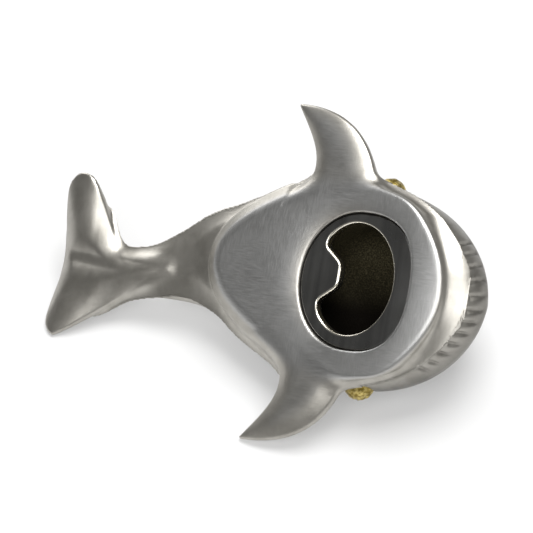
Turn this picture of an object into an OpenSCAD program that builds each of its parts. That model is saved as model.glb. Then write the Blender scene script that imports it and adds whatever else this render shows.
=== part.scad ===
// Cast whale bottle opener lying on its back, belly up.
// Whale axes: +X to the snout, +Y to the left fin, +Z out of the ground belly.
// The origin of the whale axes is the middle of the opener plate, level with the belly.
// rest_pose() then lays the finished whale on the table, which is z = 0.

/* [Body] */
// Greatest width of the body, at the eyes
body_w = 57.6; // [54:0.2:62]
// Depth of the body from the ground belly to the back
body_depth = 46.5; // [44:0.5:48]
// Distance from the plate's middle to the tip of the snout
snout_x = 37.4; // [36.6:0.2:40]
// Share by which the body narrows toward the back
back_taper = 0.5; // [0.4:0.02:0.56]
// Width of the thinnest part of the tail
tail_w = 13; // [11:0.5:17]
// How far the tail bends to one side
tail_sway = 6; // [0:0.5:7]
// How far the tail bows to the left side before it bends
tail_bow = 2.9; // [0:0.1:3.2]
// How far the body leans sideways for each millimetre of depth
body_lean = 0.14; // [0:0.01:0.18]
// Distance from the plate's middle to the front of the lower jaw
jaw_x = 34.4; // [32:0.2:35]
// Width of the lower jaw
jaw_w = 51; // [46:0.5:52]
// Thickness of the lower jaw
jaw_t = 6.5; // [5:0.25:8]

/* [Fins and fluke] */
// Span from one fin tip to the other
fin_span = 97; // [88:0.5:104]
// Thickness of a fin at its root
fin_t = 6.5; // [5:0.25:9]
// Span of the tail fluke
fluke_span = 51; // [44:0.5:56]
// Thickness of the fluke at its root
fluke_t = 8; // [7:0.2:9]
// How far the left lobe of the fluke sits behind the right one
fluke_skew = 3; // [-2:0.5:4]
// Turn of the fluke in its own plane
fluke_turn = -3; // [-8:0.5:4]

/* [Opener plate] */
// Length of the plate along the whale
plate_l = 36; // [34:0.2:38]
// Width of the plate across the whale
plate_w = 38.4; // [36:0.2:39.6]
// Thickness of the steel plate
plate_t = 2.6; // [2:0.1:3.4]
// Depth of the plate's face below the ground belly
plate_drop = 1.8; // [1:0.1:2.6]
// Gap between the plate and the wall of its recess
plate_gap = 0.4; // [0.2:0.05:0.8]
// Width of the mouth across the whale
mouth_w = 31.8; // [30:0.2:32.6]
// Distance from the tooth's tip to the opposite edge of the mouth
mouth_reach = 17.6; // [16:0.2:18]
// Width of the tooth's tip
tooth_w = 6.6; // [5:0.2:9]

/* [Cavity] */
// Diameter of the cavity under the plate
cavity_d = 33.6; // [33:0.2:34.4]
// Depth of the cavity below the ground belly
cavity_depth = 22; // [14:0.5:28]

/* [Eyes] */
// Diameter of an eye's head
eye_d = 8.8; // [8:0.2:9.6]
// How far an eye's head stands out
eye_h = 4.2; // [3:0.1:4.4]
// Diameter of the pin behind an eye's head
pin_d = 4; // [3:0.1:5]
// Length of the pin behind an eye's head
pin_l = 9; // [6:0.5:9.5]

/* [Resting pose] */
// Turn about the whale's long axis that brings one fin tip to the table
rest_roll = 36.8; // [36:0.1:37.5]
// Turn about the table's cross axis that brings the fluke to the table
rest_pitch = -11.2; // [-12:0.1:-10.5]
// Height of the whale's origin above the table
rest_height = 38.3; // [36:0.1:40]

/* [Hidden] */

half_w = body_w / 2;
waist_x = 3;              // where the body is widest
belly_rise = 18;          // height of a section above its widest level at the head
chest_rise = 17.5;        // the same just behind the head
deep_x = 4;               // where the body is deepest
tail_top = 4.4;           // height of the thin tail above its widest level
tail_bottom = 4.6;        // depth of the thin tail below its widest level
tail_end_x = -94;         // the body's last section, inside the fluke
tail_end_t = 0.6;         // half thickness there
tail_end_run = 18;        // how far the thin end reaches
body_offset = 0.8;        // sideways place of the body's middle line
lean_depth = 14;          // depth at which the body stops leaning
sway_x = -42;             // where the tail starts to bend
sway_run = 34;            // how far the bend goes on
bow_x = -57;              // where the tail bows most
bow_run = 13;             // how far the bow reaches each way
bow_w = 1.7;              // half width that the tail gains there
fluke_x = -80;            // where the fluke's lobes meet the tail
tip_t = 2.4;              // thickness near the tip of a fin or lobe
eye_level = 12;           // depth of the eyes below the ground belly
eye_x = 2.2;
eye_sink = 0.9;           // how deep an eye's seat is cut into the side
eye_gap = 0.3;            // gap round an eye's head in its seat
round_steps = 48;         // facets of the pins and seats
ring_steps = 36;          // points round one section of the body
body_steps = 44;          // sections along the body
lobe_rings = 14;          // sections along a fin or lobe
lobe_steps = 16;          // points round one section of a fin or lobe
seat_z = -plate_drop - plate_t;
plate_x = 1.3;            // the plate's middle along the whale
footprint_x = 33.3;       // from the footprint's middle to the plate's middle
footprint_y = -2.5;
slack = 1;                // how far cutters stand past the faces they cut
cut_size = 60;            // reach of the cutter that grinds the belly flat

function mix(a, b, t) = a + (b - a) * t;
function clamp01(t) = min(1, max(0, t));
function ease(t) = let (c = clamp01(t)) c * c * (3 - 2 * c);
function dome(t, power) = pow(max(0, 1 - pow(clamp01(t), power)), 1 / power);
function bezier(p, t) =
    p[0] * pow(1 - t, 3) + p[1] * 3 * t * pow(1 - t, 2)
    + p[2] * 3 * t * t * (1 - t) + p[3] * pow(t, 3);

// Grows to 1 where the tail bows most
function bow(x) = exp(-pow((x - bow_x) / bow_run, 2));

// Sideways place of the body's middle line at a place along it and a depth
function middle_y(x, z) =
    body_offset + body_lean * max(z, -lean_depth)
    + tail_bow * bow(x) - tail_sway * ease((sway_x - x) / sway_run);

// Grows from 0 at the body's last section to 1 where the tail has its full thickness
function tail_end(x) = ease((x - tail_end_x) / tail_end_run);

// Half width, upper height, lower depth and widest level of the body's section at x
function wide(x) =
    x > waist_x
    ? half_w * dome((x - waist_x) / (snout_x - waist_x), 1.8)
    : mix(tail_w / 2, half_w, ease((x + 78) / 72)) * mix(0.5, 1, tail_end(x)) + bow_w * bow(x);
function level(x) = mix(8, 14, ease((x + 30) / 55));
function upper(x) =
    x > waist_x
    ? belly_rise * dome((x - waist_x) / (snout_x - waist_x), 2)
    : mix(tail_end_t, mix(tail_top, chest_rise, ease((x + 77) / 84)), tail_end(x));
function lower(x) =
    let (deep = body_depth - level(deep_x))
    x > deep_x
    ? deep * dome((x - deep_x) / (snout_x - deep_x), 1.25)
    : mix(tail_end_t, mix(tail_bottom, deep, ease((x + 80) / 84)), tail_end(x));

function body_ring(x) = [
    for (i = [0 : ring_steps - 1])
        let (
            a = 360 * i / ring_steps,
            tall = sin(a) > 0 ? upper(x) : lower(x),
            z = tall * sin(a) - level(x),
            keel = sin(a) < 0 ? 1 - back_taper * pow(sin(a), 2) : 1
        )
        [x, wide(x) * keel * cos(a) + middle_y(x, z), z]
];

// Closed skin over a list of rings with the same number of points each
module skin(rings) {
    count = len(rings[0]);
    last = len(rings) - 1;
    sides = [
        for (r = [0 : last - 1])
            for (i = [0 : count - 1])
                let (j = (i + 1) % count)
                for (f = [
                    [r * count + i, (r + 1) * count + i, (r + 1) * count + j],
                    [r * count + i, (r + 1) * count + j, r * count + j]
                ])
                f
    ];
    start = [for (i = [0 : count - 1]) i];
    end = [for (i = [count - 1 : -1 : 0]) last * count + i];
    polyhedron(points = [for (ring = rings) each ring], faces = concat([start], sides, [end]));
}

module torso() {
    skin([
        for (s = [0 : body_steps])
            body_ring(mix(tail_end_x, snout_x - 0.05, sin(90 * s / body_steps)))
    ]);
}

// Lower jaw: a flat rounded slab that the belly's plane cuts through
module lower_jaw() {
    jaw_middle = 4;
    front = jaw_x - jaw_middle;
    back = 20;
    steps = 16;
    skin([
        for (s = [0 : steps])
            let (
                turn = -90 + 180 * s / steps,
                z = jaw_t * sin(turn),
                reach = max(0.01, pow(cos(turn), 0.8))
            )
            [
                for (i = [0 : ring_steps - 1])
                    let (a = 360 * i / ring_steps)
                    [
                        jaw_middle + (cos(a) > 0 ? front : back) * reach * cos(a),
                        jaw_w / 2 * reach * sin(a) + middle_y(0, z),
                        z
                    ]
            ]
    ]);
}

// Flat lobe between a leading and a trailing curve that meet at its tip
module lobe(leading, trailing, root_z, tip_z, root_t) {
    skin([
        for (r = [0 : lobe_rings])
            let (
                t = min(0.995, sin(90 * r / lobe_rings)),
                front = bezier(leading, t),
                rear = bezier(trailing, t),
                half_t = mix(root_t, tip_t, t) / 2 * sqrt(1 - pow(t, 8)),
                z = mix(root_z, tip_z, t * t)
            )
            [
                for (i = [0 : lobe_steps - 1])
                    let (
                        a = 360 * i / lobe_steps,
                        flat = mix(rear, front, (1 + cos(a)) / 2)
                    )
                    [flat[0], flat[1], z - half_t * sin(a)]
            ]
    ]);
}

module fin(side) {
    tip = [-27.5, fin_span / 2];
    out = fin_span / 97;
    leading = [[4, 20], [1, 40 * out], [-9, 49.5 * out], tip];
    trailing = [[-34, 16], [-11, 28], [-20, 37 * out], tip];
    mirror([0, side < 0 ? 1 : 0, 0])
        lobe(leading, trailing, -5.2, side < 0 ? -5.5 : -2.5, fin_t);
}

module fluke() {
    tip = [-19.6, fluke_span / 2];
    translate([fluke_x, body_offset - tail_sway, 0])
        rotate([0, 0, fluke_turn])
            for (side = [1, -1])
                let (
                    push = side * fluke_skew,
                    leading = [
                        [8.5 - 1.8 * push, -2],
                        [-4 - 2 * push, 5 - 0.7 * push],
                        [-11.5, 22.5 + 0.8 * push],
                        tip
                    ],
                    trailing = [[-24, -2], [-27.5 - push / 3, 6], [-30 - push / 2, 25], tip]
                )
                mirror([0, side < 0 ? 1 : 0, 0])
                    lobe(leading, trailing, -7, 1, fluke_t);
}

// Rounded outline of the plate: squarer toward the snout
function plate_outline(grow) = [
    for (a = [0 : 5 : 355])
        let (square = cos(a) > 0 ? 0.84 : 1)
        [
            (plate_l / 2 + grow) * sign(cos(a)) * pow(abs(cos(a)), square),
            (plate_w / 2 + grow) * sign(sin(a)) * pow(abs(sin(a)), square)
        ]
];

// Mouth of the opener: a rounded hole with a tooth on the tail side
module mouth_outline() {
    tooth_x = -5.4;
    front_x = tooth_x + mouth_reach;
    tooth_y = 1.2;
    corner_x = -11.6;
    round_r = 1.3;
    flare = 0.76;
    middle = [-1, 0.6];
    root = 20;
    offset(r = round_r) offset(delta = -2 * round_r) offset(r = round_r)
        difference() {
            intersection() {
                translate(middle)
                    scale([front_x - middle[0], mouth_w / 2]) circle(r = 1, $fn = 64);
                translate([corner_x, -mouth_w]) square(2 * mouth_w);
            }
            polygon([
                [tooth_x, tooth_y + tooth_w / 2],
                [tooth_x, tooth_y - tooth_w / 2],
                [tooth_x - root, tooth_y - tooth_w / 2 - root * flare],
                [tooth_x - root, tooth_y + tooth_w / 2 + root * flare]
            ]);
        }
}

// Side wall of the body behind an eye, where its seat is cut
function eye_seat_y(side) = side * (wide(eye_x) - eye_sink) + middle_y(eye_x, -eye_level);

// Puts its child at an eye with +Z pointing out of the body
module at_eye(side) {
    translate([eye_x, eye_seat_y(side), -eye_level]) rotate([-90 * side, 0, 0]) children();
}

// Lays the whale on the table and puts the middle of its footprint at the origin
module rest_pose() {
    translate([footprint_x, footprint_y, rest_height])
        rotate([0, rest_pitch, 0])
            rotate([rest_roll, 0, 0])
                children();
}

// Round bowl under the plate
module cavity() {
    bowl_r = 9;
    wall_r = cavity_d / 2;
    rotate_extrude($fn = 1.5 * round_steps)
        intersection() {
            union() {
                translate([0, -cavity_depth + bowl_r]) square([wall_r, cavity_depth - bowl_r - plate_drop]);
                translate([wall_r - bowl_r, -cavity_depth + bowl_r]) circle(r = bowl_r, $fn = round_steps);
                translate([0, -cavity_depth]) square([wall_r - bowl_r, bowl_r + slack]);
            }
            translate([0, -cavity_depth]) square([wall_r, cavity_depth]);
        }
}

module whale_body() {
    color("darkgray")
        rest_pose()
            difference() {
                union() {
                    torso();
                    lower_jaw();
                    fin(1);
                    fin(-1);
                    fluke();
                }
                translate([-cut_size, -cut_size, 0]) cube([2 * cut_size, 2 * cut_size, cut_size]);
                translate([plate_x, 0, seat_z]) linear_extrude(height = plate_drop + plate_t + slack)
                    polygon(plate_outline(plate_gap));
                translate([plate_x, 0, 0]) cavity();
                for (side = [-1, 1])
                    at_eye(side) {
                        translate([0, 0, -pin_l]) cylinder(d = pin_d, h = pin_l + slack, $fn = round_steps);
                        cylinder(d = eye_d + 2 * eye_gap, h = eye_h + slack, $fn = round_steps);
                    }
            }
}

module opener_plate() {
    color("dimgray")
        rest_pose()
            translate([plate_x, 0, seat_z])
                linear_extrude(height = plate_t)
                    difference() {
                        polygon(plate_outline(0));
                        mouth_outline();
                    }
}

module eye(side) {
    dome_r = (eye_d * eye_d / 4 + eye_h * eye_h) / (2 * eye_h);
    color("goldenrod")
        rest_pose()
            at_eye(side) {
                translate([0, 0, -pin_l]) cylinder(d = pin_d, h = pin_l + slack, $fn = round_steps);
                intersection() {
                    cylinder(d = eye_d, h = eye_h + slack, $fn = round_steps);
                    translate([0, 0, eye_h - dome_r]) sphere(r = dome_r, $fn = 1.5 * round_steps);
                }
            }
}

whale_body();
opener_plate();
eye(1);  // left_eye
eye(-1);  // right_eye
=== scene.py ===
"""Looks of a cast whale bottle opener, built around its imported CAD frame.

Shapes are worked out in millimetres in the whale's own axes: +X to the snout, +Y to the left fin and +Z out
of the ground belly. The origin is at the middle of the plate's recess, level with the belly. POSE lays the
whale on the table. The body and the plate are implicit solids: each shape is a signed distance, and skin()
turns the solid into a mesh.
"""

import math

import bpy
import numpy as np
from mathutils import Matrix, Vector


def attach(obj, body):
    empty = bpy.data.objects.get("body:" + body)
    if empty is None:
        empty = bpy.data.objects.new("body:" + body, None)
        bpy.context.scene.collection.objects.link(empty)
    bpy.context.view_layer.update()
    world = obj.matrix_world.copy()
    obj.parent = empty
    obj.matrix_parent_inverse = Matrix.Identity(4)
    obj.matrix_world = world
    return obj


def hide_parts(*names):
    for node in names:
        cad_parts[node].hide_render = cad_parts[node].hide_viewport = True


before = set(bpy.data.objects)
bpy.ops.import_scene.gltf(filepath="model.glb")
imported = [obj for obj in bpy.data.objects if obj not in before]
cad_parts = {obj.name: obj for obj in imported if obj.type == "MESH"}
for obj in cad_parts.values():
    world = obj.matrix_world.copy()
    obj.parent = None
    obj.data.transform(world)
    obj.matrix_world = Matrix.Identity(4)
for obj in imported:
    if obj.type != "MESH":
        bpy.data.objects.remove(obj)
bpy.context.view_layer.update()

MM = 0.001

# ---------------------------------------------------------------- sizes, in millimetres
# as in the CAD part, but for JAW_W, which is wider here to follow the outline in the photo
BODY_W = 57.6
BODY_DEPTH = 46.5
SNOUT_X = 37.4
BACK_TAPER = 0.5
TAIL_W = 13
TAIL_SWAY = 6
BODY_LEAN = 0.14
JAW_X = 34.4
JAW_W = 54.5
JAW_T = 6.5
FIN_SPAN = 97
FLUKE_SPAN = 51
FLUKE_SKEW = 3
FLUKE_TURN = -3
PLATE_L = 36
PLATE_W = 38.4
PLATE_T = 2.6
PLATE_DROP = 1.8
PLATE_GAP = 0.4
PLATE_X = 1.3
MOUTH_W = 31.8
MOUTH_REACH = 17.6
TOOTH_W = 6.6
CAVITY_R = 16.8
CAVITY_DEPTH = 22
BOWL_R = 9
EYE_R = 4.4
EYE_H = 4.2
EYE_X = 2.2
EYE_LEVEL = 12
EYE_SINK = 0.9
WAIST_X = 3
TAIL_END_X = -94
FLUKE_X = -80
BODY_OFFSET = 0.8
BELLY_RISE = 18
CHEST_RISE = 17.5
DEEP_X = 4
TAIL_TOP = 4.4
TAIL_BOTTOM = 4.6
TAIL_END_T = 0.6
TAIL_END_RUN = 18
LEAN_DEPTH = 14
SWAY_X = -42
SWAY_RUN = 34
TAIL_BOW = 2.9
BOW_X = -57
BOW_RUN = 13
BOW_W = 1.7
# the widest level of each section lies deeper towards the head
LEVEL_TAIL = 8
LEVEL_HEAD = 14
LEVEL_X = -30
LEVEL_RUN = 55
TOOTH_X = -5.4
TOOTH_Y = 1.2
MOUTH_BACK = -11.6

# the resting pose
REST_ROLL = math.radians(36.8)
REST_PITCH = math.radians(-11.2)
REST_AT = Vector((33.3, -2.5, 38.3))

POSE = (
    Matrix.Translation(REST_AT * MM)
    @ Matrix.Rotation(REST_PITCH, 4, "Y")
    @ Matrix.Rotation(REST_ROLL, 4, "X")
)


# ---------------------------------------------------------------- small numeric helpers
def mix(a, b, t):
    return a + (b - a) * t


def ease(t):
    c = np.clip(t, 0, 1)
    return c * c * (3 - 2 * c)


def dome(t, power):
    c = np.clip(t, 0, 1)
    return np.maximum(1 - c**power, 1e-4) ** (1 / power)


def hypot(*parts):
    return np.sqrt(sum(p * p for p in parts))


def round_max(a, b, r):
    """Intersection of two distances, with its edge rounded to radius r."""
    return np.minimum(np.maximum(a, b), -r) + hypot(np.maximum(a + r, 0), np.maximum(b + r, 0))


def smooth_min(a, b, k):
    """Union of two distances, with a fillet of about k."""
    h = np.clip(0.5 + 0.5 * (b - a) / k, 0, 1)
    return mix(b, a, h) - k * h * (1 - h)


def smooth_max(a, b, k):
    return -smooth_min(-a, -b, k)


def normal_distance(f, x, y, z, step=0.05):
    """Turns any implicit function into a distance near its surface."""
    here = f(x, y, z)
    slope = hypot(
        f(x + step, y, z) - here,
        f(x, y + step, z) - here,
        f(x, y, z + step) - here,
    )
    return here / np.maximum(slope / step, 1e-3)


def bezier(points, t):
    p = [np.array(q, float)[None, :] for q in points]
    t = t[:, None]
    return p[0] * (1 - t) ** 3 + p[1] * 3 * t * (1 - t) ** 2 + p[2] * 3 * t * t * (1 - t) + p[3] * t**3


class Outline:
    """Signed distance to a closed outline, kept on a flat grid. soft is the same, smoothed."""

    STEP = 0.4

    def __init__(self, points, blur):
        margin = 14
        self.lo = points.min(0) - margin
        n = np.ceil((points.max(0) + margin - self.lo) / self.STEP).astype(int) + 1
        ticks = [self.lo[axis] + self.STEP * np.arange(n[axis]) for axis in (0, 1)]
        gx, gy = np.meshgrid(*ticks, indexing="ij")
        best = np.full(gx.shape, 1e9)
        inside = np.zeros(gx.shape, bool)
        for a, b in zip(points, np.roll(points, -1, 0)):
            e = b - a
            wx, wy = gx - a[0], gy - a[1]
            t = np.clip((wx * e[0] + wy * e[1]) / max(e @ e, 1e-9), 0, 1)
            best = np.minimum(best, hypot(wx - t * e[0], wy - t * e[1]))
            crossing = (a[1] > gy) != (b[1] > gy)
            with np.errstate(divide="ignore", invalid="ignore"):
                at = a[0] + (gy - a[1]) / (e[1] if e[1] else 1e-9) * e[0]
            inside ^= crossing & (gx < at)
        self.flat = np.where(inside, -best, best)
        soft = self.flat.copy()
        for _ in range(blur):
            for axis in (0, 1):
                soft = (np.roll(soft, 1, axis) + 2 * soft + np.roll(soft, -1, axis)) / 4
        self.soft_grid = soft

    def _read(self, grid, x, y):
        u = np.clip((x - self.lo[0]) / self.STEP, 0, grid.shape[0] - 1.001)
        v = np.clip((y - self.lo[1]) / self.STEP, 0, grid.shape[1] - 1.001)
        i, j = u.astype(int), v.astype(int)
        fu, fv = u - i, v - j
        return mix(mix(grid[i, j], grid[i + 1, j], fu), mix(grid[i, j + 1], grid[i + 1, j + 1], fu), fv)

    def distance(self, x, y):
        return self._read(self.flat, x, y)

    def soft(self, x, y):
        return self._read(self.soft_grid, x, y)


# ---------------------------------------------------------------- the body's shapes
def middle_y(x, z):
    line = BODY_OFFSET + BODY_LEAN * np.maximum(z, -LEAN_DEPTH) - TAIL_SWAY * ease((SWAY_X - x) / SWAY_RUN)
    return line + TAIL_BOW * tail_swell(x)


def tail_swell(x):
    """Grows to 1 where the tail leaves the body."""
    return np.exp(-(((x - BOW_X) / BOW_RUN) ** 2))


def tail_end(x):
    return ease((x - TAIL_END_X) / TAIL_END_RUN)


def wide(x):
    head = BODY_W / 2 * dome((x - WAIST_X) / (SNOUT_X - WAIST_X), 1.8)
    tail = mix(TAIL_W / 2, BODY_W / 2, ease((x + 78) / 72)) * mix(0.5, 1, tail_end(x))
    return np.where(x > WAIST_X, head, tail + BOW_W * tail_swell(x))


def level(x):
    drop = 2.2 * ease((-34 - x) / 12) * (1 - ease((-58 - x) / 16))
    return mix(LEVEL_TAIL, LEVEL_HEAD, ease((x - LEVEL_X) / LEVEL_RUN)) + drop


def upper(x):
    head = BELLY_RISE * dome((x - WAIST_X) / (SNOUT_X - WAIST_X), 2)
    tail = mix(TAIL_END_T, mix(TAIL_TOP, CHEST_RISE, ease((x + 77) / 84)), tail_end(x))
    return np.where(x > WAIST_X, head, tail)


def lower(x):
    deep = BODY_DEPTH - mix(LEVEL_TAIL, LEVEL_HEAD, ease((DEEP_X - LEVEL_X) / LEVEL_RUN))
    head = deep * dome((x - DEEP_X) / (SNOUT_X - DEEP_X), 1.25)
    tail = mix(TAIL_END_T, mix(TAIL_BOTTOM, deep, ease((x + 80) / 84)), tail_end(x))
    return np.where(x > DEEP_X, head, tail)


def torso_shape(x, y, z):
    up = z + level(x)
    s = up / np.maximum(np.where(up > 0, upper(x), lower(x)), 0.3)
    keel = np.where(up < 0, 1 - BACK_TAPER * np.minimum(s * s, 1.2), 1)
    return hypot((y - middle_y(x, z)) / np.maximum(wide(x) * keel, 0.3), s) - 1


def torso(x, y, z):
    d = normal_distance(torso_shape, x, y, z)
    return np.maximum(np.maximum(d, x - SNOUT_X), TAIL_END_X - x)


def jaw_shape(x, y, z):
    dx = x - DEEP_X
    reach = np.maximum(1 - (z / JAW_T) ** 2, 1e-3) ** 0.4
    along = np.where(dx > 0, dx / (JAW_X - DEEP_X), dx / 20)
    return hypot(along, (y - middle_y(0 * x, z) + 1) / (JAW_W / 2)) / reach - 1


def jaw(x, y, z):
    d = np.maximum(normal_distance(jaw_shape, x, y, z), np.abs(z) - JAW_T)
    return np.maximum(np.maximum(d, x - JAW_X), np.abs(y) - JAW_W / 2 - 1)


STEPS = np.linspace(0, 1, 28)


def fin_outline(tip):
    leading = bezier([[4, 20], [1, 40], [-9, 49.5], tip], STEPS)
    trailing = bezier([[-34, 16], [-11, 28], [-20, 37], tip], STEPS)
    return Outline(np.vstack([leading, trailing[-2::-1]]), 10)


def fluke_outline():
    """Leading and trailing curves of both lobes, in the fluke's own axes."""
    lobes = []
    for side in (1, -1):
        push = side * FLUKE_SKEW
        far = side > 0
        tip = [-20.2, FLUKE_SPAN / 2 + (1.2 if far else 0)]
        root = [8.5 - 1.8 * push, -2]
        leading = [root, [-4.6 - 2 * push, 5 - 0.7 * push], [-12.6, 22.5 + 0.8 * push], tip]
        trailing = [[-24, -2], [-27.5 - push / 3, 6], [-30.2 if far else -27.6, 25], tip]
        flip = np.array([1, side])
        lobes.append((bezier(leading, STEPS) * flip, bezier(trailing, STEPS) * flip))
    return lobes


FAR_FIN = fin_outline([-27.8, FIN_SPAN / 2 + 0.4])
NEAR_FIN = fin_outline([-30.4, FIN_SPAN / 2 + 1.2])
FLUKE_LOBES = [Outline(np.vstack([a, b[-2::-1]]), 10) for a, b in fluke_outline()]


def lobe(outline, x, y, z, middle, edge, thick, spread, rim, inset):
    """Flat lobe: edge and thick are its half thicknesses at the rim and well inside."""
    inner = np.clip(-outline.soft(x, y) / spread, 0, 1)
    over = z - middle - mix(edge, thick, 1 - (1 - inner) ** 2)
    under = middle - z - mix(edge, thick, ease(inner))
    return round_max(outline.distance(x, y) + inset, np.maximum(over, under), rim)


def fin(x, y, z, side):
    v = side * y
    t = np.clip((v - 18) / (FIN_SPAN / 2 - 18), 0, 1)
    tip_z = -2.5 if side > 0 else -3.5
    middle = mix(-4.6, tip_z, t * t)
    outline = FAR_FIN if side > 0 else NEAR_FIN
    edge, thick = mix(1.1, 0.8, t), mix(4.0, 2.9, t)
    return lobe(outline, x, v, z, middle, edge, thick, 8, 0.6, 0.2)


def fluke(x, y, z):
    c, s = math.cos(math.radians(-FLUKE_TURN)), math.sin(math.radians(-FLUKE_TURN))
    u0, v0 = x - FLUKE_X, y - (BODY_OFFSET - TAIL_SWAY)
    u, v = c * u0 - s * v0, s * u0 + c * v0
    t = np.clip(np.abs(v) / (FLUKE_SPAN / 2), 0, 1)
    middle = mix(-6.6, 0.2, t * t)
    edge, thick = mix(1.2, 1.0, t), mix(5.0, 4.4, t)
    left, right = [lobe(outline, u, v, z, middle, edge, thick, 9, 0.5, 0.05) for outline in FLUKE_LOBES]
    return smooth_min(left, right, 2.5)


# the raised facet of the ground belly, whose edge on the tail side is a curved V
PAD_APEX = -45.8
PAD_Y = 1.4
PAD_SPREAD = 4.3
PAD_END = -19
PAD_DEPTH = 8
SHOULDER_SLOPE = math.radians(33)
SHOULDER_REACH = 4.4


def facet_distance(x, y):
    """Distance outside the belly facet's curved V on the tail side."""
    v = (y - PAD_Y) / PAD_SPREAD
    return (PAD_APEX + v * v - x) / hypot(1, 2 * v / PAD_SPREAD)


def pad(x, y, z):
    """Raised block of the ground belly on the tail side, with a sloping shoulder round it."""
    d = facet_distance(x, y)
    shoulder = d * math.sin(SHOULDER_SLOPE) + z * math.cos(SHOULDER_SLOPE)
    top = round_max(z + belly_dip(x, y), shoulder, 0.8)
    wall = round_max(top, d - SHOULDER_REACH, 0.6)
    block = round_max(wall, -PAD_DEPTH - z, 2)
    return round_max(block + 2.5 * ease((x + 27) / 8), x - PAD_END, 0.5)


def plate_distance(x, y):
    """First-order distance to the plate's rounded outline."""
    u, v = np.abs(x - PLATE_X) / (PLATE_L / 2), np.abs(y) / (PLATE_W / 2)
    p = np.where(x > PLATE_X, 2.6, 2.05)
    u, v = np.maximum(u, 1e-3), np.maximum(v, 1e-3)
    f = (u**p + v**p) ** (1 / p)
    gx = (u / f) ** (p - 1) / (PLATE_L / 2)
    gy = (v / f) ** (p - 1) / (PLATE_W / 2)
    return (f - 1) / hypot(gx, gy)


def belly_dip(x, y):
    """How far the ground belly rolls down towards the recess, on the tail side."""
    d = np.maximum(plate_distance(x, y) - PLATE_GAP, -1.0)
    turn = np.arctan2(y - 1, x - PLATE_X)
    tail_side = np.clip(0.5 - 0.62 * np.cos(turn + 0.35), 0, 1)
    return 1.45 * tail_side * np.exp(-np.maximum(d, 0) / 5.0)


def belly_height(x, y):
    """The ground belly: crowned towards the snout, and lower behind the pad."""
    out = np.clip(plate_distance(x, y) - PLATE_GAP, 0, 13)
    crown = 0.0095 * out * out * ease((x + 2) / 18)
    return -crown - belly_dip(x, y) - 2.8 * ease((-26 - x) / 12) * (1 - ease((-54 - x) / 14))


def recess(x, y, z):
    wall = plate_distance(x, y) - PLATE_GAP
    floor = -PLATE_DROP - PLATE_T - z
    return round_max(wall, floor, 0.3)


def cavity(x, y, z):
    r = hypot(x - PLATE_X, y)
    bottom = -CAVITY_DEPTH - z
    return round_max(r - CAVITY_R, bottom, BOWL_R)


GROOVES = 12
GROOVE_FIRST = math.radians(31)
GROOVE_LAST = math.radians(-47)
GROOVE_DEPTH = 0.85


def groove_cut(x, y, z):
    """Depth cut by the short grooves round the front of the head, each a little out of line."""
    turn = np.arctan2(y, x - DEEP_X)
    r = hypot(x - DEEP_X, y)
    cut = np.zeros_like(x)
    for k in range(GROOVES):
        t = k / (GROOVES - 1)
        wobble = math.sin(7.3 * k) * 0.012
        a = mix(GROOVE_FIRST, GROOVE_LAST, t) + wobble
        top = mix(-6.6, -7.6, t) + 0.5 * math.sin(3.1 * k)
        bottom = mix(-15.5, -12.5, t) + 0.7 * math.sin(5.7 * k)
        along = np.clip((top - z) / (top - bottom), 0, 1)
        slant = 0.05 * (along - 0.5)
        across = (turn - a - slant) * r
        window = ease((top - z) / 1.0) * ease((z - bottom) / 3.0)
        width = mix(0.75, 0.45, along)
        cut = np.maximum(cut, window * np.exp(-((across / width) ** 2)))
    return GROOVE_DEPTH * cut * ease((x - 12) / 6)


def body(x, y, z):
    main = torso(x, y, z)
    main = smooth_min(main, fin(x, y, z, 1), 5)
    main = smooth_min(main, fin(x, y, z, -1), 5)
    main = smooth_min(main, fluke(x, y, z), 5)
    main = smooth_min(main, jaw(x, y, z), 5.0)
    main = main + groove_cut(x, y, z)
    edge = mix(1.6, 6.0, ease((x - 12) / 16))
    main = round_max(main, z - belly_height(x, y), edge)
    main = smooth_min(main, pad(x, y, z), mix(0.7, 0.02, ease((x + 36) / 10)))
    main = round_max(main, -recess(x, y, z), 0.5)
    main = round_max(main, -cavity(x, y, z), 0.3)
    for side in (1, -1):
        main = np.maximum(main, -eye_seat(x, y, z, side))
    return main


def eye_seat_y(side):
    return side * (float(wide(EYE_X)) - EYE_SINK) + float(middle_y(EYE_X, -EYE_LEVEL))


def eye_seat(x, y, z, side):
    out = side * (y - eye_seat_y(side))
    return np.maximum(hypot(x - EYE_X, z + EYE_LEVEL) - (EYE_R + 0.15), -out)


# ---------------------------------------------------------------- the plate
def mouth_distance(x, y):
    """Inside the mouth is negative. Plate axes: x from the plate's middle."""
    front = TOOTH_X + MOUTH_REACH
    a, b = front + 1, MOUTH_W / 2
    ex, ey = (x + 1) / a, (y - 0.6) / b
    f = np.maximum(hypot(ex, ey), 1e-3)
    ellipse = (f - 1) * f / np.maximum(hypot(ex / a, ey / b), 1e-4)
    room = round_max(ellipse, MOUTH_BACK - x, 1.6)
    flare = 0.76
    n = math.hypot(1, flare)
    past = x - TOOTH_X
    left = (y - (TOOTH_Y + TOOTH_W / 2) + flare * past) / n
    right = (-(y - (TOOTH_Y - TOOTH_W / 2)) + flare * past) / n
    tooth = round_max(round_max(past, left, 1.4), right, 1.4)
    return round_max(room, -tooth, 1.2)


def plate(x, y, z):
    """Plate solid, with a bevel round its mouth that is widest at the tooth."""
    top = z + PLATE_DROP
    bottom = -PLATE_DROP - PLATE_T - z
    outer = plate_distance(x, y) + 0.02
    m = mouth_distance(x - PLATE_X, y)
    tooth_side = ease((-x + 3) / 7)
    bevel = mix(0.25, 0.65, tooth_side)
    chamfer = (top + bevel * 0.75 - m) * math.sqrt(0.5)
    slab = round_max(round_max(top, bottom, 0.2), outer, 0.45)
    slab = round_max(slab, -m, 0.15)
    return smooth_max(slab, chamfer, 0.25)


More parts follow.
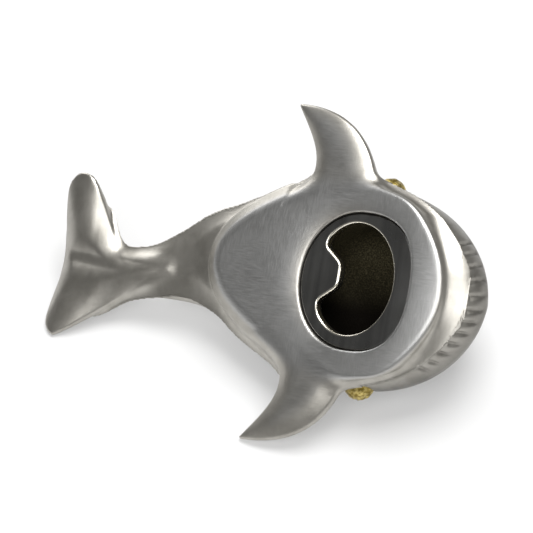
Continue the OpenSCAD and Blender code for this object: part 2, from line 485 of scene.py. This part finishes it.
# ---------------------------------------------------------------- implicit solid to mesh
def skin(field, lo, hi, step, relax=3):
    """Closed quad mesh of field = 0, as (vertices, faces): surface nets, with the points pulled onto it."""
    block = 4
    far = 9.0
    lo = np.array(lo, float)
    cells = np.ceil((np.array(hi) - lo) / (step * block)).astype(int)
    axes = [lo[i] + step * block * (np.arange(cells[i]) + 0.5) for i in range(3)]
    cx, cy, cz = np.meshgrid(*axes, indexing="ij")
    coarse = field(cx.ravel(), cy.ravel(), cz.ravel()).reshape(cx.shape)
    near = np.abs(coarse) < step * block * 2.2
    for axis in range(3):
        flips = np.diff(np.sign(coarse), axis=axis) != 0
        a = [slice(None)] * 3
        b = [slice(None)] * 3
        a[axis], b[axis] = slice(None, -1), slice(1, None)
        near[tuple(a)] |= flips
        near[tuple(b)] |= flips
    grown = near.copy()
    for axis in range(3):
        grown |= np.roll(near, 1, axis) | np.roll(near, -1, axis)
    sign = np.where(coarse > 0, far, -far)
    value = np.repeat(np.repeat(np.repeat(sign, block, 0), block, 1), block, 2).astype(np.float32)
    fine = np.repeat(np.repeat(np.repeat(grown, block, 0), block, 1), block, 2)
    idx = np.array(np.nonzero(fine))
    p = lo[:, None] + step * (idx + 0.5)
    chunk = 400000
    found = np.concatenate([field(*p[:, i : i + chunk]) for i in range(0, p.shape[1], chunk)])
    value[tuple(idx)] = found
    value[[0, -1]] = far
    value[:, [0, -1]] = far
    value[:, :, [0, -1]] = far
    inside = value < 0
    nx, ny, nz = np.array(value.shape) - 1
    offsets = [(i, j, k) for i in (0, 1) for j in (0, 1) for k in (0, 1)]
    count = sum(inside[i : nx + i, j : ny + j, k : nz + k].astype(np.int8) for i, j, k in offsets)
    active = (count > 0) & (count < 8)
    number = np.full(active.shape, -1, np.int64)
    number[active] = np.arange(active.sum())
    at = np.array(np.nonzero(active))
    total = np.zeros((3, at.shape[1]))
    hits = np.zeros(at.shape[1])
    for a in offsets:
        for axis in range(3):
            if a[axis]:
                continue
            b = list(a)
            b[axis] = 1
            fa = value[at[0] + a[0], at[1] + a[1], at[2] + a[2]]
            fb = value[at[0] + b[0], at[1] + b[1], at[2] + b[2]]
            cross = (fa < 0) != (fb < 0)
            t = np.where(cross, fa / np.where(cross, fa - fb, 1), 0)
            for i in range(3):
                total[i] += np.where(cross, a[i] + (t if i == axis else 0), 0)
            hits += cross
    verts = (lo[:, None] + step * (at + total / hits + 0.5)).T
    faces = []
    for axis in range(3):
        u, v = [(1, 2), (2, 0), (0, 1)][axis]
        a = [slice(1, -1)] * 3
        b = [slice(1, -1)] * 3
        a[axis], b[axis] = slice(0, -1), slice(1, None)
        fa, fb = inside[tuple(a)], inside[tuple(b)]
        e = np.array(np.nonzero(fa != fb))
        out = fa[tuple(e)]
        base = e.copy()
        for other in (u, v):
            base[other] += 1
        quad = []
        for du, dv in ((-1, -1), (0, -1), (0, 0), (-1, 0)):
            q = base.copy()
            q[u] += du
            q[v] += dv
            quad.append(number[tuple(q)])
        quad = np.array(quad).T
        faces.append(np.where(out[:, None], quad, quad[:, ::-1]))
    faces = np.vstack(faces)
    edges = np.vstack([faces[:, [0, 1]], faces[:, [1, 2]], faces[:, [2, 3]], faces[:, [3, 0]]])
    links = np.bincount(edges.ravel(), minlength=len(verts))

    def pull(p):
        h = 0.02
        f = field(*p.T)
        rise = [field(*(p + h * axis).T) - field(*(p - h * axis).T) for axis in np.eye(3)]
        g = np.stack(rise, 1) / (2 * h)
        n2 = np.maximum((g * g).sum(1), 0.15)
        move = -(f / n2)[:, None] * g
        size = np.linalg.norm(move, axis=1)
        limit = 0.6 * step
        return p + move * np.minimum(1, limit / np.maximum(size, 1e-9))[:, None]

    for _ in range(relax):
        mean = np.zeros_like(verts)
        for i in range(3):
            mean[:, i] = np.bincount(edges[:, 0], verts[edges[:, 1], i], len(verts)) + np.bincount(
                edges[:, 1], verts[edges[:, 0], i], len(verts)
            )
        mean /= links[:, None]
        verts = pull(mix(verts, mean, 0.5))
    verts = pull(verts)
    return verts, faces


def mesh_object(name, verts, faces, masks):
    """Mesh object from points in whale axes, laid on the table by POSE, with a float attribute per mask."""
    mesh = bpy.data.meshes.new(name)
    mesh.vertices.add(len(verts))
    turn = np.array(POSE.to_3x3())
    placed = verts * MM @ turn.T + np.array(POSE.translation)
    mesh.vertices.foreach_set("co", placed.astype(np.float32).ravel())
    mesh.loops.add(faces.size)
    mesh.loops.foreach_set("vertex_index", faces.astype(np.int32).ravel())
    mesh.polygons.add(len(faces))
    mesh.polygons.foreach_set("loop_start", np.arange(0, faces.size, faces.shape[1], dtype=np.int32))
    mesh.polygons.foreach_set("loop_total", np.full(len(faces), faces.shape[1], np.int32))
    mesh.update(calc_edges=True)
    mesh.validate()
    mesh.shade_smooth()
    for key, values in masks.items():
        layer = mesh.attributes.new(key, "FLOAT", "POINT")
        layer.data.foreach_set("value", values.astype(np.float32))
    obj = bpy.data.objects.new(name, mesh)
    bpy.context.scene.collection.objects.link(obj)
    return obj


# ---------------------------------------------------------------- node helpers
class Nodes:
    """Short way to write a node material."""

    def __init__(self, name):
        self.material = bpy.data.materials.new(name)
        self.material.use_nodes = True
        self.tree = self.material.node_tree
        self.shader = self.tree.nodes["Principled BSDF"]
        back = POSE.inverted()
        whale = self.add("ShaderNodeMapping")
        self.tree.links.new(self.add("ShaderNodeTexCoord").outputs["Object"], whale.inputs["Vector"])
        whale.inputs["Rotation"].default_value = back.to_euler("XYZ")
        whale.inputs["Location"].default_value = back.translation
        self.place = whale.outputs[0]

    def add(self, kind, **settings):
        n = self.tree.nodes.new(kind)
        for key, value in settings.items():
            setattr(n, key, value)
        return n

    def link(self, source, target):
        if isinstance(source, (int, float)):
            target.default_value = source
        elif isinstance(source, (tuple, list)):
            opaque = (1.0,) if len(source) == 3 and target.type == "RGBA" else ()
            target.default_value = tuple(source) + opaque
        else:
            self.tree.links.new(source, target)

    def math(self, op, a, b):
        n = self.add("ShaderNodeMath", operation=op)
        for value, target in zip((a, b), n.inputs):
            self.link(value, target)
        return n.outputs[0]

    def ramp(self, value, low, high, out_low=0.0, out_high=1.0):
        n = self.add("ShaderNodeMapRange", interpolation_type="SMOOTHSTEP")
        for v, target in zip((value, low, high, out_low, out_high), n.inputs):
            self.link(v, target)
        return n.outputs[0]

    def scaled(self, scale, turn=(0, 0, 0)):
        n = self.add("ShaderNodeMapping")
        self.link(self.place, n.inputs["Vector"])
        n.inputs["Rotation"].default_value = turn
        n.inputs["Scale"].default_value = scale
        return n.outputs[0]

    def noise(self, scale, detail=3.0, rough=0.5, stretch=None, turn=(0, 0, 0), warp=0.0):
        n = self.add("ShaderNodeTexNoise")
        self.link(self.scaled(stretch or (1, 1, 1), turn), n.inputs["Vector"])
        n.inputs["Scale"].default_value = scale
        n.inputs["Detail"].default_value = detail
        n.inputs["Roughness"].default_value = rough
        n.inputs["Distortion"].default_value = warp
        return n.outputs["Fac"]

    def blend(self, amount, a, b):
        n = self.add("ShaderNodeMix", data_type="RGBA")
        self.link(amount, n.inputs[0])
        self.link(a, n.inputs[6])
        self.link(b, n.inputs[7])
        return n.outputs[2]

    def mask(self, name):
        return self.add("ShaderNodeAttribute", attribute_name=name).outputs["Fac"]

    def bump(self, height, strength, distance):
        n = self.add("ShaderNodeBump")
        n.inputs["Strength"].default_value = strength
        n.inputs["Distance"].default_value = distance
        self.link(height, n.inputs["Height"])
        return n.outputs[0]

    def finish(self, obj, slot):
        obj.data.materials.clear()
        obj.data.materials.append(self.material)
        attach(obj, "root")


# ---------------------------------------------------------------- the whale's body
def cast_metal():
    m = Nodes("cast_metal")
    ground = m.mask("ground")
    inside = m.mask("inside")
    brush_y = m.noise(2600, 4, 0.6, (1, 0.12, 0.3), (0, 0, math.radians(24)), 0.6)
    brush_x = m.noise(2300, 4, 0.6, (0.14, 1, 0.3), (0, 0, math.radians(-28)), 0.6)
    patch = m.noise(60, 3, 0.5)
    side = m.ramp(m.noise(45, 2, 0.5), 0.42, 0.58)
    other = m.math("SUBTRACT", 1.0, side)
    brushed = m.math("ADD", m.math("MULTIPLY", brush_y, side), m.math("MULTIPLY", brush_x, other))
    fine = m.noise(2600, 2, 0.6)
    blotch = m.noise(130, 4, 0.6, warp=0.4)
    stain = m.ramp(blotch, 0.3, 0.7)
    # The warm flank comes in a lighter copy and a darker copy; the darker one is painted shade, laid by the
    # deep mask over the lower flanks and back, towards the table.
    skin_light = m.blend(stain, (0.36, 0.345, 0.312), (0.46, 0.443, 0.406))
    skin_painted_shade = m.blend(stain, (0.17, 0.163, 0.148), (0.25, 0.241, 0.221))
    warm = m.blend(m.mask("deep"), skin_light, skin_painted_shade)
    cool = m.blend(m.ramp(brushed, 0.3, 0.7), (0.39, 0.39, 0.385), (0.47, 0.47, 0.465))
    hide = m.blend(ground, warm, cool)
    pit = m.noise(2600, 3, 0.7)
    sand = m.blend(m.ramp(pit, 0.4, 0.75), (0.05, 0.044, 0.026), (0.18, 0.158, 0.093))
    # Inside the cavity, painted shade: near black on the near (-y) wall, rising to the sand colour on the
    # lit far wall, by the lit mask.
    cavity_sand_painted_shade = m.blend(m.mask("lit"), (0.006, 0.005, 0.004), sand)
    colour = m.blend(inside, hide, cavity_sand_painted_shade)
    m.link(colour, m.shader.inputs["Base Color"])
    satin = m.math("ADD", 0.40, m.math("MULTIPLY", m.math("SUBTRACT", patch, 0.5), 0.12))
    rough = m.math("ADD", satin, m.math("MULTIPLY", m.math("SUBTRACT", brushed, 0.5), 0.14))
    rough = m.math("ADD", rough, m.math("MULTIPLY", inside, 0.35))
    m.link(rough, m.shader.inputs["Roughness"])
    m.shader.inputs["Metallic"].default_value = 1.0
    height = m.math("ADD", brushed, m.math("MULTIPLY", fine, 0.35))
    height = m.math("ADD", height, m.math("MULTIPLY", m.math("MULTIPLY", inside, pit), 6.0))
    m.link(m.bump(height, 0.4, 0.00008), m.shader.inputs["Normal"])
    return m


def make_body():
    verts, faces = skin(body, (-107, -52, -49), (41, 52, 3), 0.54)
    x, y, z = verts.T
    d = plate_distance(x, y) - PLATE_GAP
    inside = ease((-0.25 - d) / 0.3) * ease((-PLATE_DROP * 0.4 - z) / 0.5)
    inside = np.where(z > -CAVITY_DEPTH - 0.8, inside, 0)
    ground = ease((z + 1.6) / 1.2) * ease((x + 50) / 3)
    # deep: where painted shade darkens the flanks, towards the back (the side on the table) and the head
    deep = ease((-5 - z) / 9) * ease((x + 46) / 16)
    # lit: painted light and shade across the cavity, shaded at -y and lit at +y
    lit = ease((y + 9) / 20)
    masks = {"inside": inside, "ground": ground, "deep": deep, "lit": lit}
    obj = mesh_object("whale_casting", verts, faces, masks)
    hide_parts("whale_body")
    cast_metal().finish(obj, "cast_metal")


# ---------------------------------------------------------------- the opener plate
def plate_metal():
    m = Nodes("plate_steel")
    edge = m.mask("edge")
    streak = m.noise(300, 3, 0.5, (1, 0.06, 1))
    cloud = m.noise(90, 3, 0.5)
    dark = m.blend(m.ramp(streak, 0.3, 0.7), (0.13, 0.13, 0.128), (0.19, 0.19, 0.185))
    bright = (0.86, 0.82, 0.72)
    m.link(m.blend(edge, dark, bright), m.shader.inputs["Base Color"])
    rough = m.math("ADD", 0.30, m.math("MULTIPLY", m.math("SUBTRACT", cloud, 0.5), 0.2))
    m.link(m.math("SUBTRACT", rough, m.math("MULTIPLY", edge, 0.08)), m.shader.inputs["Roughness"])
    m.shader.inputs["Metallic"].default_value = 1.0
    m.link(m.bump(streak, 0.2, 0.00006), m.shader.inputs["Normal"])
    return m


def make_plate():
    low = -PLATE_DROP - PLATE_T
    verts, faces = skin(
        plate, (PLATE_X - 19, -20.2, low - 0.9), (PLATE_X + 19, 20.2, -PLATE_DROP + 0.9), 0.25
    )
    x, y, z = verts.T
    m = mouth_distance(x - PLATE_X, y)
    reach = mix(0.35, 0.6, ease((-x + 3) / 7))
    edge = ease((reach + 0.15 - m) / 0.3) * ease((z - low - 0.5) / 0.4)
    obj = mesh_object("opener_insert", verts, faces, {"edge": edge})
    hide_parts("opener_plate")
    plate_metal().finish(obj, "plate_steel")


# ---------------------------------------------------------------- the eyes
def brass():
    m = Nodes("eye_brass")
    dents = m.noise(420, 3, 0.5)
    grime = m.noise(900, 4, 0.6)
    colour = m.blend(m.ramp(grime, 0.35, 0.65), (0.20, 0.145, 0.03), (0.62, 0.50, 0.19))
    m.link(colour, m.shader.inputs["Base Color"])
    m.link(m.ramp(dents, 0.3, 0.7, 0.28, 0.48), m.shader.inputs["Roughness"])
    m.shader.inputs["Metallic"].default_value = 1.0
    height = m.math("ADD", dents, m.math("MULTIPLY", grime, 0.4))
    m.link(m.bump(height, 0.8, 0.0004), m.shader.inputs["Normal"])
    return m


def make_eye(side, node):
    """Hammered dome: rings from the rim to the crown, dented by a few waves."""
    sphere_r = (EYE_R**2 + EYE_H**2) / (2 * EYE_H)
    rings, steps = 22, 64
    wall = 0.9
    verts = []
    for r in range(rings + 1):
        t = r / rings
        reach = EYE_R * math.cos(t * math.pi / 2)
        for s in range(steps):
            a = 2 * math.pi * s / steps
            u, v = reach * math.cos(a), reach * math.sin(a)
            dent = 0.13 * math.sin(1.9 * u + 1.3 * side) * math.sin(2.1 * v + 0.6)
            dent += 0.07 * math.sin(3.9 * u - 2.7 * v)
            h = math.sqrt(max(sphere_r**2 - reach**2, 0)) - (sphere_r - EYE_H)
            rim = min(1, (EYE_R - reach) / 0.5)
            h = max(h, 0) + rim * (dent - 0.12)
            verts.append((u, v, h))
    faces = []
    for r in range(rings):
        for s in range(steps):
            n = (s + 1) % steps
            faces.append((r * steps + s, r * steps + n, (r + 1) * steps + n, (r + 1) * steps + s))
    base = len(verts)
    for s in range(steps):
        a = 2 * math.pi * s / steps
        verts.append((EYE_R * math.cos(a), EYE_R * math.sin(a), -wall))
    for s in range(steps):
        n = (s + 1) % steps
        faces.append((base + s, base + n, n, s))
    local = np.array(verts)
    out = np.stack([local[:, 0], side * local[:, 2], -side * local[:, 1]], 1)
    out += np.array([EYE_X, eye_seat_y(side), -EYE_LEVEL])
    obj = mesh_object(node + "_pin", out, np.array(faces), {})
    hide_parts(node)
    brass().finish(obj, "eye_brass")


# ---------------------------------------------------------------- floor, light and camera
def make_floor():
    size = 3.0
    mesh = bpy.data.meshes.new("floor")
    corners = [(-size, -size, 0), (size, -size, 0), (size, size, 0), (-size, size, 0)]
    mesh.from_pydata(corners, [], [(0, 1, 2, 3)])
    obj = bpy.data.objects.new("floor", mesh)
    bpy.context.scene.collection.objects.link(obj)
    m = Nodes("floor_white")
    m.shader.inputs["Base Color"].default_value = (0.40, 0.40, 0.40, 1)
    m.shader.inputs["Roughness"].default_value = 0.8
    m.shader.inputs["Specular IOR Level"].default_value = 0.1
    m.shader.inputs["Emission Color"].default_value = (1, 1, 1, 1)
    m.shader.inputs["Emission Strength"].default_value = 0.32
    mesh.materials.append(m.material)


def area_light(name, place, aim, size, power):
    data = bpy.data.lights.new(name, "AREA")
    data.shape = "RECTANGLE"
    data.size, data.size_y = size
    data.energy = power
    obj = bpy.data.objects.new(name, data)
    bpy.context.scene.collection.objects.link(obj)
    obj.location = place
    obj.rotation_mode = "QUATERNION"
    obj.rotation_quaternion = (Vector(aim) - Vector(place)).to_track_quat("-Z", "Y")


def make_lights():
    world = bpy.data.worlds.new("studio")
    bpy.context.scene.world = world
    world.use_nodes = True
    background = world.node_tree.nodes["Background"]
    background.inputs["Color"].default_value = (1.0, 0.99, 0.96, 1)
    background.inputs["Strength"].default_value = 0.17
    area_light("overhead", (0.16, 0.16, 0.78), (0, 0, 0.02), (0.5, 0.5), 9)
    area_light("front", (0.11, -0.46, 0.62), (0, 0, 0.03), (0.50, 0.34), 2.6)
    area_light("nose", (0.46, -0.28, 0.50), (0, 0, 0.03), (0.3, 0.3), 1.2)
    area_light("back", (-0.55, 0.45, 0.3), (0, 0, 0.03), (0.5, 0.4), 2.5)


def make_camera():
    """Camera at the photo's angle, set in the whale's axes; view_width is seen at the aim's distance."""
    right = Vector((0.8453, 0.1651, -0.5082))
    down = Vector((0.1191, -0.9854, -0.1219))
    toward = Vector((0.5209, -0.0425, 0.8526))
    aim = Vector((2.2, 0, 0))
    distance = 600
    view_width = 149.3
    turn = Matrix((right, -down, toward)).transposed().to_4x4()
    place = Matrix.Translation((aim + toward * distance) * MM) @ turn
    data = bpy.data.cameras.new("camera")
    data.sensor_width = 36
    data.lens = distance / view_width * data.sensor_width
    data.shift_x = -0.1651
    data.shift_y = 0.0272
    data.clip_start, data.clip_end = 0.01, 20
    obj = bpy.data.objects.new("camera", data)
    bpy.context.scene.collection.objects.link(obj)
    obj.matrix_world = POSE @ place
    bpy.context.scene.camera = obj


make_body()
make_plate()
make_eye(1, "left_eye")
make_eye(-1, "right_eye")
make_floor()
make_lights()
make_camera()
scene = bpy.context.scene
scene.view_settings.view_transform = "Standard"
scene.view_settings.look = "None"
